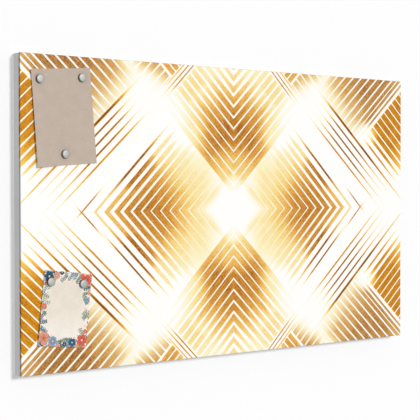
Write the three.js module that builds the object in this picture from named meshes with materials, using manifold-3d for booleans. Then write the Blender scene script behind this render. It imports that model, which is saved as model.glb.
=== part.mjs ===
// Wall-hung magnetic display board: a folded steel tray faced with printed film,
// two glued channels behind it against drumming, riveted keyhole plates in its
// corners, rubber wall pads, and five pot magnets that hold a note card and an
// invitation card.
// Millimetres, +Z up. The origin is the middle of the board on the wall plane,
// and the printed face looks along -Y.

import * as THREE from 'three';
import { mergeVertices } from 'three/addons/utils/BufferGeometryUtils.js';
import Module from 'manifold-3d';

// Clearances shared by all pieces.
const seatGap = 0.1; // between flat faces that rest on each other
const looseGap = 0.3; // round a piece in its hole, and under cards and magnets
const cutOverrun = 1; // how far a cutter runs past the faces it cuts

// Steel tray.
const boardWidth = 1000;
const boardHeight = 600;
const trayDepth = 28;
const sheetThickness = 1;
const insideFoldRadius = 1;
const lipWidth = 14;
const mitreGap = 0.8;
const foldSegments = 4;

// Rubber pads that hold the tray off the wall.
const padThickness = 2;
const padMargin = 0.8;
const padEdgeRadius = 0.5;
const padInset = 92;
const padSegments = 20;

// Printed film over the front and round the folded edges.
const filmThickness = 0.3;
const filmWrap = 6;
const filmCornerNotch = 1.5;

// Glued channels behind the front sheet.
const channelSpacing = 500;
const channelThickness = 1;
const channelFlange = 13;
const channelMouth = 32;
const channelLean = 3;
const channelHeight = 16;
const channelEndGap = 10;
const tapeThickness = 1;
const tapeMargin = 1.5;
const tapeEndInset = 6;

// Keyhole plates riveted behind the lips in the corners.
const plateThickness = 1.5;
const plateSize = 60;
const plateChamfer = 22;
const keyholeInset = 36;
const keyholeRadius = 5;
const keyholeSlotWidth = 5;
const keyholeSlotReach = 10;
const holeSegments = 16;

// Blind rivets through lip and plate.
const rivetRadius = 1.6;
const rivetHeadRadius = 3.2;
const rivetHeadHeight = 0.9;
const rivetTailRadius = 2.5;
const rivetTailHeight = 1.6;
const rivetInset = 47;
const rivetSegments = 10;
const domeShare = 0.6;
const domeHeightShare = 0.8;

// Pot magnets: a steel cap over a disc magnet.
const magnetRadius = 8.2;
const magnetHeight = 5;
const capWall = 1.2;
const capFront = 1.1;
const capEdgeRadius = 1;
const capEdgeSteps = 3;
const capRimWidth = 1.1;
const capDishDepth = 0.3;
const capDishSlope = 0.5;
const coreRecess = 0.2;
const magnetSegments = 24;

// Cards: how far their middles lie in from a left corner of the board, how they hang, where
// their magnets sit and which stretch of them curls, as shares of the card across and down.
const cardThickness = 0.4;
const noteCard = {
  width: 127,
  height: 183,
  inFromSide: 92,
  inFromTop: 116,
  tiltDegrees: 4.3,
  cornerLift: 5,
  sideLift: 1.2,
  flatAcrossShares: [0.42, 0.72],
  curlStartShare: 0.2,
  magnetShares: [[-0.37, 0.4], [0.346, 0.4], [-0.03, -0.382]],
};
const invitationCard = {
  width: 104,
  height: 140,
  inFromSide: 92.5,
  inFromBottom: 118,
  tiltDegrees: -6,
  bottomLift: 3,
  curlStartShare: 0.3,
  magnetShares: [[-0.356, 0.371], [0.322, 0.371]],
};
const cardColumns = 8;
const cardRows = 12;

// Places along Y, from the wall towards the viewer.
const trayBack = -padThickness;
const lipInside = trayBack - sheetThickness;
const trayFront = trayBack - trayDepth;
const frontSheetInside = trayFront + sheetThickness;
const filmBack = trayFront - seatGap;
const filmFront = filmBack - filmThickness;
const plateBack = lipInside - seatGap;
const plateFront = plateBack - plateThickness;

// Worked-out radii and middles.
const outsideFoldRadius = insideFoldRadius + sheetThickness;
const lipMiddle = (outsideFoldRadius + lipWidth) / 2;
const padRadius = (lipWidth - outsideFoldRadius) / 2 - padMargin;
const channelCrown = channelMouth - 2 * channelLean;
const channelLength = boardHeight - 2 * (lipWidth + channelEndGap);
const tapeWidth = channelFlange - 2 * tapeMargin;
const capDishRadius = magnetRadius - capEdgeRadius - capRimWidth - capDishSlope;
const cornerSigns = [
  ['top_left', -1, 1],
  ['top_right', 1, 1],
  ['bottom_left', -1, -1],
  ['bottom_right', 1, -1],
];
const quarterTurn = Math.PI / 2;

const greyCoat = { color: 0xc3c3c5, roughness: 0.45, metalness: 0.1 };
const galvanised = { color: 0xb6babd, roughness: 0.45, metalness: 0.8 };
const aluminium = { color: 0xc8c9cb, roughness: 0.4, metalness: 0.9 };
const rubberLook = { color: 0x2b2c2e, roughness: 0.9, metalness: 0 };
const nickel = { color: 0xc6c8ca, roughness: 0.25, metalness: 1 };

const wasm = await Module();
wasm.setup();

/** Turns a closed three.js geometry into a solid for cutting and joining. */
function solidOf(geometry) {
  const bare = geometry.index ? geometry.toNonIndexed() : geometry.clone();
  bare.deleteAttribute('normal');
  bare.deleteAttribute('uv');
  const merged = mergeVertices(bare);
  return new wasm.Manifold(new wasm.Mesh({
    numProp: 3,
    vertProperties: new Float32Array(merged.attributes.position.array),
    triVerts: new Uint32Array(merged.index.array),
  }));
}

/** Turns a solid back into a flat-shaded three.js geometry. */
function geometryOf(solid) {
  const { vertProperties, triVerts } = solid.getMesh();
  const geometry = new THREE.BufferGeometry();
  geometry.setAttribute('position', new THREE.BufferAttribute(new Float32Array(vertProperties), 3));
  geometry.setIndex(new THREE.BufferAttribute(new Uint32Array(triVerts), 1));
  const flat = geometry.toNonIndexed();
  flat.computeVertexNormals();
  return flat;
}

/** A box given by its lowest and highest corners. */
function boxBetween(low, high) {
  const size = high.map((value, axis) => value - low[axis]);
  const middle = high.map((value, axis) => (value + low[axis]) / 2);
  return new THREE.BoxGeometry(...size).translate(...middle);
}

/** A round bar along Y between two planes. */
function barAlongY(radius, from, to, x, z, segments) {
  return new THREE.CylinderGeometry(radius, radius, Math.abs(to - from), segments)
    .translate(x, (from + to) / 2, z);
}

/** An outline drawn in X and Z, thickened from the plane y = back towards -Y. */
function plateFromOutline(points, thickness, back, bevel = {}) {
  const outline = new THREE.Shape(points.map(([x, z]) => new THREE.Vector2(x, z)));
  return new THREE.ExtrudeGeometry(outline, { depth: thickness, bevelEnabled: false, ...bevel })
    .rotateX(quarterTurn)
    .translate(0, back, 0);
}

/** A box whose front and back edges are rounded all the way round, as folded sheet is. */
function foldedBox(width, height, depth, radius, back) {
  const corners = [[-1, -1], [1, -1], [1, 1], [-1, 1]];
  const points = corners.map(([sx, sz]) => [sx * width / 2, sz * height / 2]);
  return plateFromOutline(points, depth - 2 * radius, back - radius, {
    bevelEnabled: true,
    bevelThickness: radius,
    bevelSize: radius,
    bevelOffset: -radius,
    bevelSegments: foldSegments,
  });
}

function namedMesh(name, geometry, look) {
  const mesh = new THREE.Mesh(geometry, new THREE.MeshStandardMaterial(look));
  mesh.name = name;
  return mesh;
}

/** The tray: front sheet, four folded sides and return lips mitred at the corners. */
function steelTray() {
  const outside = foldedBox(boardWidth, boardHeight, trayDepth, outsideFoldRadius, trayBack);
  const inside = foldedBox(
    boardWidth - 2 * sheetThickness,
    boardHeight - 2 * sheetThickness,
    trayDepth - 2 * sheetThickness,
    insideFoldRadius,
    lipInside,
  );
  const mouthX = boardWidth / 2 - lipWidth;
  const mouthZ = boardHeight / 2 - lipWidth;
  const mouth = boxBetween(
    [-mouthX, lipInside - cutOverrun, -mouthZ],
    [mouthX, trayBack + cutOverrun, mouthZ],
  );
  let tray = solidOf(outside).subtract(solidOf(inside)).subtract(solidOf(mouth));
  for (const [, sx, sz] of cornerSigns) {
    tray = tray.subtract(solidOf(mitreCutter(sx, sz)));
    for (const [x, z] of rivetPlaces(sx, sz)) {
      tray = tray.subtract(solidOf(rivetHole(x, z)));
    }
  }
  return namedMesh('steel_tray', geometryOf(tray), greyCoat);
}

/** A thin bar on the diagonal of a corner, which parts the two lips that meet there. */
function mitreCutter(sx, sz) {
  const reach = (lipWidth - outsideFoldRadius) * Math.SQRT2 + 2 * cutOverrun;
  return new THREE.BoxGeometry(reach, sheetThickness + 2 * cutOverrun, mitreGap)
    .rotateY(-sx * sz * quarterTurn / 2)
    .translate(
      sx * (boardWidth / 2 - lipMiddle),
      trayBack - sheetThickness / 2,
      sz * (boardHeight / 2 - lipMiddle),
    );
}

/** The rivets of one corner, one on each lip, in X and Z. */
function rivetPlaces(sx, sz) {
  const fromCorner = [[rivetInset, lipMiddle], [lipMiddle, rivetInset]];
  return fromCorner.map(([dx, dz]) => [sx * (boardWidth / 2 - dx), sz * (boardHeight / 2 - dz)]);
}

function rivetHole(x, z) {
  const radius = rivetRadius + looseGap;
  return barAlongY(radius, trayBack + cutOverrun, plateFront - cutOverrun, x, z, rivetSegments);
}

/** The film: a thin pan over the front that ends a little way down the sides. */
function printedFilm() {
  const grown = (gap) => foldedBox(
    boardWidth + 2 * gap,
    boardHeight + 2 * gap,
    trayDepth + gap,
    outsideFoldRadius + gap,
    trayBack,
  );
  const reachX = boardWidth / 2 + cutOverrun + filmThickness;
  const reachZ = boardHeight / 2 + cutOverrun + filmThickness;
  const kept = boxBetween(
    [-reachX, filmFront - cutOverrun, -reachZ],
    [reachX, filmFront + filmWrap, reachZ],
  );
  let film = solidOf(grown(seatGap + filmThickness))
    .subtract(solidOf(grown(seatGap)))
    .intersect(solidOf(kept));
  const foldEnd = filmFront + outsideFoldRadius + seatGap + filmThickness;
  for (const [, sx, sz] of cornerSigns) {
    const xs = [sx * (boardWidth / 2 - filmCornerNotch), sx * reachX].sort((a, b) => a - b);
    const zs = [sz * (boardHeight / 2 - filmCornerNotch), sz * reachZ].sort((a, b) => a - b);
    const notch = boxBetween([xs[0], foldEnd, zs[0]], [xs[1], filmFront + filmWrap + cutOverrun, zs[1]]);
    film = film.subtract(solidOf(notch));
  }
  return namedMesh('print_film', geometryOf(film), { color: 0xe9c98f, roughness: 0.4, metalness: 0 });
}

/** One hat-section channel, standing upright behind the front sheet. */
function channel(name, x) {
  const mouth = channelMouth / 2;
  const crown = channelCrown / 2;
  const flangeEnd = mouth + channelFlange;
  const wallSide = [[-flangeEnd, channelThickness], [-mouth, channelThickness], [-crown, channelHeight],
    [crown, channelHeight], [mouth, channelThickness], [flangeEnd, channelThickness]];
  const sheetSide = [[flangeEnd, 0], [mouth - channelThickness, 0],
    [crown - channelThickness, channelHeight - channelThickness],
    [channelThickness - crown, channelHeight - channelThickness],
    [channelThickness - mouth, 0], [-flangeEnd, 0]];
  const profile = new THREE.Shape([...wallSide, ...sheetSide].map((p) => new THREE.Vector2(...p)));
  const geometry = new THREE.ExtrudeGeometry(profile, { depth: channelLength, bevelEnabled: false });
  geometry.translate(x, frontSheetInside + tapeThickness + 2 * seatGap, -channelLength / 2);
  return namedMesh(name, geometry, galvanised);
}

/** The strip of mounting foam under one flange of a channel, centred on x. */
function channelTape(name, x) {
  const half = channelLength / 2 - tapeEndInset;
  const strip = boxBetween(
    [x - tapeWidth / 2, frontSheetInside + seatGap, -half],
    [x + tapeWidth / 2, frontSheetInside + seatGap + tapeThickness, half],
  );
  return namedMesh(name, strip, { color: 0x8d8f8c, roughness: 0.95, metalness: 0 });
}

/** A corner plate with a keyhole that takes a screw head, slotted both upwards and sideways. */
function keyholePlate(corner, sx, sz) {
  const inset = sheetThickness + insideFoldRadius + looseGap;
  const far = inset + plateSize;
  const at = (dx, dz) => [sx * (boardWidth / 2 - dx), sz * (boardHeight / 2 - dz)];
  const outline = [at(inset, inset), at(far, inset), at(far, far - plateChamfer),
    at(far - plateChamfer, far), at(inset, far)];
  let plate = solidOf(plateFromOutline(outline, plateThickness, plateBack));
  const through = [plateBack + cutOverrun, plateFront - cutOverrun];
  const slotEnd = keyholeInset - keyholeSlotReach;
  const holes = [
    [keyholeRadius, keyholeInset, keyholeInset],
    [keyholeSlotWidth / 2, slotEnd, keyholeInset],
    [keyholeSlotWidth / 2, keyholeInset, slotEnd],
  ];
  for (const [radius, dx, dz] of holes) {
    plate = plate.subtract(solidOf(barAlongY(radius, ...through, ...at(dx, dz), holeSegments)));
  }
  const [middleX, middleZ] = at(keyholeInset, keyholeInset);
  const [endX, endZ] = at(slotEnd, slotEnd);
  const half = keyholeSlotWidth / 2;
  const slots = [
    [Math.min(middleX, endX), middleZ - half, Math.max(middleX, endX), middleZ + half],
    [middleX - half, Math.min(middleZ, endZ), middleX + half, Math.max(middleZ, endZ)],
  ];
  for (const [x0, z0, x1, z1] of slots) {
    plate = plate.subtract(solidOf(boxBetween([x0, through[1], z0], [x1, through[0], z1])));
  }
  for (const [x, z] of rivetPlaces(sx, sz)) {
    plate = plate.subtract(solidOf(rivetHole(x, z)));
  }
  return namedMesh(`keyhole_plate_${corner}`, geometryOf(plate), galvanised);
}

/** A blind rivet: a domed head on the wall side and a set tail inside the tray. */
function blindRivet(name, x, z) {
  const headSeat = trayBack + seatGap;
  const tailSeat = plateFront - seatGap;
  const profile = [
    [0, headSeat + rivetHeadHeight],
    [rivetHeadRadius * domeShare, headSeat + rivetHeadHeight * domeHeightShare],
    [rivetHeadRadius, headSeat],
    [rivetRadius, headSeat],
    [rivetRadius, tailSeat],
    [rivetTailRadius, tailSeat],
    [rivetTailRadius, tailSeat - rivetTailHeight * domeShare],
    [0, tailSeat - rivetTailHeight],
  ].reverse();
  const rivet = namedMesh(name, turned(profile, rivetSegments), aluminium);
  rivet.position.set(x, 0, z);
  return rivet;
}

/** A profile of [radius, y] points turned about the Y axis. */
function turned(points, segments) {
  return new THREE.LatheGeometry(points.map(([radius, y]) => new THREE.Vector2(radius, y)), segments);
}

/** A self-adhesive pad on a lip, its free edge rounded, touching the wall plane. */
function wallPad(corner, sx, sz) {
  const seat = trayBack + seatGap;
  const profile = [
    [0, seat],
    [padRadius, seat],
    [padRadius, -padEdgeRadius],
    [padRadius - padEdgeRadius, 0],
    [0, 0],
  ];
  const pad = namedMesh(`wall_pad_${corner}`, turned(profile, padSegments), rubberLook);
  pad.position.set(sx * (boardWidth / 2 - padInset), 0, sz * (boardHeight / 2 - lipMiddle));
  return pad;
}

/** Eases from 0 to 1 as value goes from start to end, flat at both ends. */
function eased(value, start, end) {
  const share = Math.min(1, Math.max(0, (value - start) / (end - start)));
  return share * share * (3 - 2 * share);
}

/** How far the note card stands off the board: its lower left corner curls out. */
function noteLift(across, down) {
  const { cornerLift, sideLift, flatAcrossShares, curlStartShare } = noteCard;
  const towardsLeft = 1 - eased(across, 0, flatAcrossShares[0]);
  const towardsRight = eased(across, flatAcrossShares[1], 1);
  const towardsBottom = eased(down, curlStartShare, 1);
  return cornerLift * towardsLeft * towardsBottom + sideLift * towardsRight * towardsBottom;
}

/** How far the invitation stands off the board: its free lower edge curls out. */
function invitationLift(across, down) {
  return invitationCard.bottomLift * eased(down, invitationCard.curlStartShare, 1);
}

/** A thin sheet in X and Z with its back on the plane y = 0, lifted towards -Y by a formula. */
function curledSheet(width, height, thickness, liftAt) {
  const columns = cardColumns + 1;
  const position = [];
  for (const depth of [0, thickness]) {
    for (let row = 0; row <= cardRows; row += 1) {
      for (let column = 0; column <= cardColumns; column += 1) {
        const across = column / cardColumns;
        const down = row / cardRows;
        position.push(width * (across - 1 / 2), -liftAt(across, down) - depth, height * (1 / 2 - down));
      }
    }
  }
  const layer = columns * (cardRows + 1);
  const index = [];
  const quad = (a, b, c, d) => index.push(a, b, c, a, c, d);
  for (let row = 0; row < cardRows; row += 1) {
    for (let column = 0; column < cardColumns; column += 1) {
      const a = row * columns + column;
      quad(a, a + 1, a + 1 + columns, a + columns);
      quad(layer + a, layer + a + columns, layer + a + 1 + columns, layer + a + 1);
    }
    const left = row * columns;
    const right = left + cardColumns;
    quad(left, left + columns, layer + left + columns, layer + left);
    quad(right, layer + right, layer + right + columns, right + columns);
  }
  for (let column = 0; column < cardColumns; column += 1) {
    const bottom = cardRows * columns + column;
    quad(column, layer + column, layer + column + 1, column + 1);
    quad(bottom, bottom + 1, layer + bottom + 1, layer + bottom);
  }
  const geometry = new THREE.BufferGeometry();
  geometry.setAttribute('position', new THREE.Float32BufferAttribute(position, 3));
  geometry.setIndex(index);
  const flat = geometry.toNonIndexed();
  flat.computeVertexNormals();
  return flat;
}

/** A card with its magnets, as one group tilted on the board's face. */
function pinnedCard(name, card, height, liftAt, look, firstMagnet) {
  const group = new THREE.Group();
  group.position.set(card.inFromSide - boardWidth / 2, filmFront - looseGap, height);
  group.rotation.y = -THREE.MathUtils.degToRad(card.tiltDegrees);
  group.add(namedMesh(name, curledSheet(card.width, card.height, cardThickness, liftAt), look));
  card.magnetShares.forEach(([across, up], index) => {
    const magnet = new THREE.Group();
    magnet.position.set(across * card.width, -cardThickness - looseGap, up * card.height);
    magnet.add(magnetCap(`magnet_cap_${firstMagnet + index}`));
    magnet.add(magnetCore(`magnet_core_${firstMagnet + index}`));
    group.add(magnet);
  });
  return group;
}

/** The pressed steel cap, from its rim at y = 0 to its dished front. */
function magnetCap(name) {
  const front = -magnetHeight;
  const edge = Array.from({ length: capEdgeSteps + 1 }, (_, step) => {
    const angle = quarterTurn * step / capEdgeSteps;
    return [
      magnetRadius - capEdgeRadius * (1 - Math.sin(angle)),
      front + capEdgeRadius * (1 - Math.cos(angle)),
    ];
  });
  const profile = [
    [0, front + capDishDepth],
    [capDishRadius, front + capDishDepth],
    [capDishRadius + capDishSlope, front],
    ...edge,
    [magnetRadius, 0],
    [magnetRadius - capWall, 0],
    [magnetRadius - capWall, front + capFront],
    [0, front + capFront],
  ];
  return namedMesh(name, turned(profile, magnetSegments), nickel);
}

/** The disc magnet inside the cap, a little short of the rim. */
function magnetCore(name) {
  const radius = magnetRadius - capWall - looseGap;
  const profile = [
    [0, -magnetHeight + capFront + seatGap],
    [radius, -magnetHeight + capFront + seatGap],
    [radius, -coreRecess],
    [0, -coreRecess],
  ];
  return namedMesh(name, turned(profile, magnetSegments), { color: 0x3a3b3e, roughness: 0.7, metalness: 0.2 });
}

const board = new THREE.Group();
board.add(steelTray(), printedFilm());
for (const [side, sign] of [['left', -1], ['right', 1]]) {
  const x = sign * channelSpacing / 2;
  const flangeMiddle = (channelMouth + channelFlange) / 2;
  board.add(channel(`channel_${side}`, x));
  board.add(channelTape(`channel_tape_${side}_outer`, x + sign * flangeMiddle));
  board.add(channelTape(`channel_tape_${side}_inner`, x - sign * flangeMiddle));
}
for (const [corner, sx, sz] of cornerSigns) {
  board.add(keyholePlate(corner, sx, sz), wallPad(corner, sx, sz));
  const [onLevelLip, onUprightLip] = rivetPlaces(sx, sz);
  board.add(blindRivet(`rivet_${corner}_level_lip`, ...onLevelLip));
  board.add(blindRivet(`rivet_${corner}_upright_lip`, ...onUprightLip));
}
board.add(pinnedCard(
  'note_card',
  noteCard,
  boardHeight / 2 - noteCard.inFromTop,
  noteLift,
  { color: 0xc3b3a6, roughness: 0.8, metalness: 0 },
  1,
));
board.add(pinnedCard(
  'invitation_card',
  invitationCard,
  invitationCard.inFromBottom - boardHeight / 2,
  invitationLift,
  { color: 0xf3e9de, roughness: 0.75, metalness: 0 },
  1 + noteCard.magnetShares.length,
));

export default board;
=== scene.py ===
"""Looks of a wall-hung magnetic board: a printed steel tray with two cards under round magnets.

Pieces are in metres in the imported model's frame: +X to the board's right seen from the front,
+Z up, the printed face looks along -Y, and the wall is the plane y = 0. Finishes count in
millimetres.
"""

import logging
import math
from collections.abc import Callable, Sequence
from dataclasses import dataclass
from enum import Enum

import bmesh
import bpy
from bpy.types import Material, NodeSocket, NodeTree, Object
from mathutils import Euler, Matrix, Vector


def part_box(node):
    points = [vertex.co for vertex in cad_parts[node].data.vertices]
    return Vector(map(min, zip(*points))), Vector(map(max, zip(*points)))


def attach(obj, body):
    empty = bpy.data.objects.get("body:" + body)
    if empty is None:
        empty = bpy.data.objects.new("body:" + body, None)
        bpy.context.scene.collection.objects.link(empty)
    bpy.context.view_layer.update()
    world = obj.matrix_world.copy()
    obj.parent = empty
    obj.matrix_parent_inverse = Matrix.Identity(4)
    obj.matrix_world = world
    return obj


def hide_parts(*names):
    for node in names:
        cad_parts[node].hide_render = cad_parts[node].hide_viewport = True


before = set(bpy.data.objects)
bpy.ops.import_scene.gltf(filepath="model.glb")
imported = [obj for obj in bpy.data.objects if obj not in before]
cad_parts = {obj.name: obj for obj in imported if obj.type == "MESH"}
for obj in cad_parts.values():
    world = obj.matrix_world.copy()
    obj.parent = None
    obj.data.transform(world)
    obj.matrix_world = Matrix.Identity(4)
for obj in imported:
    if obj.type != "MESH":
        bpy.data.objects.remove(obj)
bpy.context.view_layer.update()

MM = 0.001
TINY = 0.01 * MM
UPRIGHT = (math.pi / 2, 0, 0)
WHITE = (1.0, 1.0, 1.0, 1.0)
RISE = (0.0, 1.0)
FALL = (1.0, 0.0)
log = logging.getLogger("magnetic_board")

Feed = NodeSocket | float | tuple | None
Stops = Sequence[tuple[float, str]]
Pair = tuple[float, float]
Grain = tuple[float, float, float]


# nodes and colours


def linear(code: str) -> tuple[float, float, float, float]:
    """Turn an sRGB colour into the linear one that nodes take.

    Args:
        code: Six hex digits.

    Returns:
        Red, green, blue and alpha, linear.
    """
    parts = [int(code[i : i + 2], 16) / 255 for i in (0, 2, 4)]
    return (*(c / 12.92 if c <= 0.04045 else ((c + 0.055) / 1.055) ** 2.4 for c in parts), 1.0)


class Step(Enum):
    """What one node does: its type, its fixed settings, the output that is used, and its inputs.

    A step that names no inputs is fed in the node's own order.
    """

    OUTPUT = ("ShaderNodeOutputMaterial", {}, None)
    WORLD = ("ShaderNodeOutputWorld", {}, None)
    SURFACE = (
        "ShaderNodeBsdfPrincipled", {}, 0,
        "Base Color", "Roughness", "Normal", "Metallic", "Specular IOR Level",
    )
    CHALK = ("ShaderNodeBsdfDiffuse", {}, 0)
    CLEAR = ("ShaderNodeBsdfTransparent", {}, 0)
    GLOW = ("ShaderNodeEmission", {}, 0)
    SKY = ("ShaderNodeBackground", {}, 0)
    BOTH_SHADERS = ("ShaderNodeAddShader", {}, 0)
    MIX_SHADERS = ("ShaderNodeMixShader", {}, 0)
    PLACE = ("ShaderNodeTexCoord", {}, "Object")
    OWN = ("ShaderNodeAttribute", {}, "Vector")
    OWN_NUMBER = ("ShaderNodeAttribute", {}, "Fac")
    RAY = ("ShaderNodeLightPath", {}, 0)
    SEEN_FROM = ("ShaderNodeNewGeometry", {}, "Backfacing")
    PLUS = ("ShaderNodeMath", {"operation": "ADD"}, 0)
    MINUS = ("ShaderNodeMath", {"operation": "SUBTRACT"}, 0)
    TIMES = ("ShaderNodeMath", {"operation": "MULTIPLY"}, 0)
    TIMES_PLUS = ("ShaderNodeMath", {"operation": "MULTIPLY_ADD"}, 0)
    SIZE_OF = ("ShaderNodeMath", {"operation": "ABSOLUTE"}, 0)
    POWER = ("ShaderNodeMath", {"operation": "POWER"}, 0)
    COSINE = ("ShaderNodeMath", {"operation": "COSINE"}, 0)
    BEARING = ("ShaderNodeMath", {"operation": "ARCTAN2"}, 0)
    FLOOR = ("ShaderNodeMath", {"operation": "FLOOR"}, 0)
    LARGER = ("ShaderNodeMath", {"operation": "MAXIMUM"}, 0)
    ABOVE = ("ShaderNodeMath", {"operation": "GREATER_THAN"}, 0)
    ZIGZAG = ("ShaderNodeMath", {"operation": "PINGPONG"}, 0)
    WRAPPED = ("ShaderNodeMath", {"operation": "WRAP"}, 0)
    EASE = ("ShaderNodeMapRange", {"interpolation_type": "SMOOTHSTEP"}, 0)
    SPAN = ("ShaderNodeMapRange", {"clamp": True}, 0)
    AS_VECTOR = ("ShaderNodeCombineXYZ", {}, 0)
    X_OF = ("ShaderNodeSeparateXYZ", {}, 0)
    Y_OF = ("ShaderNodeSeparateXYZ", {}, 1)
    Z_OF = ("ShaderNodeSeparateXYZ", {}, 2)
    LENGTH = ("ShaderNodeVectorMath", {"operation": "LENGTH"}, 1)
    V_TIMES = ("ShaderNodeVectorMath", {"operation": "MULTIPLY"}, 0)
    V_MINUS = ("ShaderNodeVectorMath", {"operation": "SUBTRACT"}, 0)
    TURN = ("ShaderNodeVectorRotate", {"rotation_type": "Z_AXIS"}, 0, "Vector", "Angle")
    NOISE = ("ShaderNodeTexNoise", {}, 0, "Vector", "Scale", "Detail", "Distortion")
    RINGS = ("ShaderNodeTexNoise", {"noise_dimensions": "1D"}, 0, "W", "Scale")
    RANDOM = ("ShaderNodeTexWhiteNoise", {"noise_dimensions": "1D"}, 0, "W")
    CELLS = ("ShaderNodeTexVoronoi", {}, "Distance", "Vector", "Scale")
    CELL_TINT = ("ShaderNodeTexVoronoi", {}, "Color", "Vector", "Scale", "Randomness")
    CELL_HOME = ("ShaderNodeTexVoronoi", {}, "Position", "Vector", "Scale", "Randomness")
    RAMP = ("ShaderNodeValToRGB", {}, 0)
    BLEND = ("ShaderNodeMix", {"data_type": "RGBA"}, 2, 0, 6, 7)
    DYE = ("ShaderNodeMix", {"data_type": "RGBA", "blend_type": "MULTIPLY"}, 2, 0, 6, 7)
    BUMP = ("ShaderNodeBump", {}, 0, "Strength", "Distance", "Height")


def add(
    tree: NodeTree, step: Step, *feeds: Feed, stops: Stops = (), **settings: object
) -> NodeSocket | None:
    """Add one node with its settings and links.

    Args:
        tree: Node tree that gets the node.
        step: What the node does.
        *feeds: Values or sockets for the step's inputs; None leaves an input as it is.
        stops: Places and sRGB hex colours of a ramp.
        **settings: Settings beyond the step's own.

    Returns:
        The output that the step uses, or None for a tree's end.
    """
    kind, fixed, output, *inputs = step.value
    node = tree.nodes.new(kind)
    for key, value in {**fixed, **settings}.items():
        setattr(node, key, value)
    for slot, feed in zip(inputs or range(len(feeds)), feeds):
        if isinstance(feed, NodeSocket):
            tree.links.new(feed, node.inputs[slot])
        elif feed is not None:
            node.inputs[slot].default_value = feed
    for count, (place, code) in enumerate(stops):
        elements = node.color_ramp.elements
        element = elements[count] if count < len(elements) else elements.new(place)
        element.position, element.color = place, linear(code)
    return None if output is None else node.outputs[output]


def in_mm(tree: NodeTree) -> NodeSocket:
    """Read the place on the piece, in millimetres."""
    return add(tree, Step.V_TIMES, add(tree, Step.PLACE), (1 / MM,) * 3)


def looked_at(tree: NodeTree) -> NodeSocket:
    """Tell the rays that look from those that light.

    Args:
        tree: Node tree of a material or of the world.

    Returns:
        1 for the camera's rays and those in gloss and glass, 0 for all others.
    """
    seen = 0.0
    for ray in ("Is Camera Ray", "Is Glossy Ray", "Is Transmission Ray"):
        seen = add(tree, Step.LARGER, add(tree, Step.RAY).node.outputs[ray], seen)
    return seen


# finishes


@dataclass(frozen=True)
class Finish:
    """What every finish has: its material's name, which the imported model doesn't use, and nodes."""

    name: str

    def surface(self, tree: NodeTree) -> NodeSocket:
        """Add the nodes of the finish and return its shader."""
        raise NotImplementedError

    def material(self) -> Material:
        """Make the material once, and hand out the same one after that.

        Returns:
            The material of this name.
        """
        found = bpy.data.materials.get(self.name)
        if found:
            return found
        made = bpy.data.materials.new(self.name)
        made.use_nodes = True
        made.node_tree.nodes.clear()
        add(made.node_tree, Step.OUTPUT, self.surface(made.node_tree))
        return made


@dataclass(frozen=True)
class Grained(Finish):
    """A finish whose tint and gloss follow one grain and whose relief follows that or a finer one.

    Each grain is a noise of a size in millimetres, a detail and a distortion. Roughness goes from
    one value to the other over the grain's `span`. The relief is a strength and a depth.
    """

    tints: Stops = ()
    coarse: Grain = (1.0, 2.0, 0.0)
    fine: Grain | None = None
    span: Pair = (0.3, 0.7)
    roughness: Pair = (0.5, 0.5)
    relief: Pair = (0.2, 0.04)
    metallic: float = 0.0
    specular: float = 0.5

    def grains(self, tree: NodeTree) -> tuple[NodeSocket, NodeSocket]:
        """Add both grains.

        Args:
            tree: Node tree of the material.

        Returns:
            What tint and gloss follow, then what the relief follows.
        """
        place = in_mm(tree)
        coarse, fine = (
            add(tree, Step.NOISE, place, 1 / size, *how)
            for size, *how in (self.coarse, self.fine or self.coarse)
        )
        return coarse, fine

    def tint(self, tree: NodeTree, grain: NodeSocket) -> NodeSocket:
        """Colour the grain by the finish's tints."""
        return add(tree, Step.RAMP, grain, stops=self.tints)

    def surface(self, tree: NodeTree) -> NodeSocket:
        """Add the grains and all that follows them.

        Args:
            tree: Node tree of the material.

        Returns:
            The shader.
        """
        coarse, fine = self.grains(tree)
        dull, duller = self.roughness
        gloss = dull if dull == duller else add(tree, Step.SPAN, coarse, *self.span, dull, duller)
        strength, depth = self.relief
        relief = add(tree, Step.BUMP, strength, depth * MM, fine)
        tint = self.tint(tree, coarse)
        return add(tree, Step.SURFACE, tint, gloss, relief, self.metallic, self.specular)


class Ink(Enum):
    """Inks of the print, each a ramp from bare white to its darkest tone."""

    GOLD = (
        (0.0, "FFFFFF"), (0.12, "FDF3C8"), (0.27, "F8DA8C"), (0.42, "EEBB60"),
        (0.56, "DC9D45"), (0.70, "C9872E"), (0.85, "B06E20"), (1.0, "7A4212"),
    )
    UMBER = (
        (0.0, "FFFFFF"), (0.12, "FCF0CC"), (0.27, "F0D49C"), (0.42, "E0B87C"),
        (0.56, "D2A05A"), (0.70, "C18D4B"), (0.85, "A36A33"), (1.0, "74421C"),
    )
    AMBER = (
        (0.0, "FFFFFF"), (0.12, "FEF2BE"), (0.27, "FAD668"), (0.42, "F0B03E"),
        (0.56, "E39B1E"), (0.70, "CF890F"), (0.85, "B87410"), (1.0, "865012"),
    )


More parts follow.
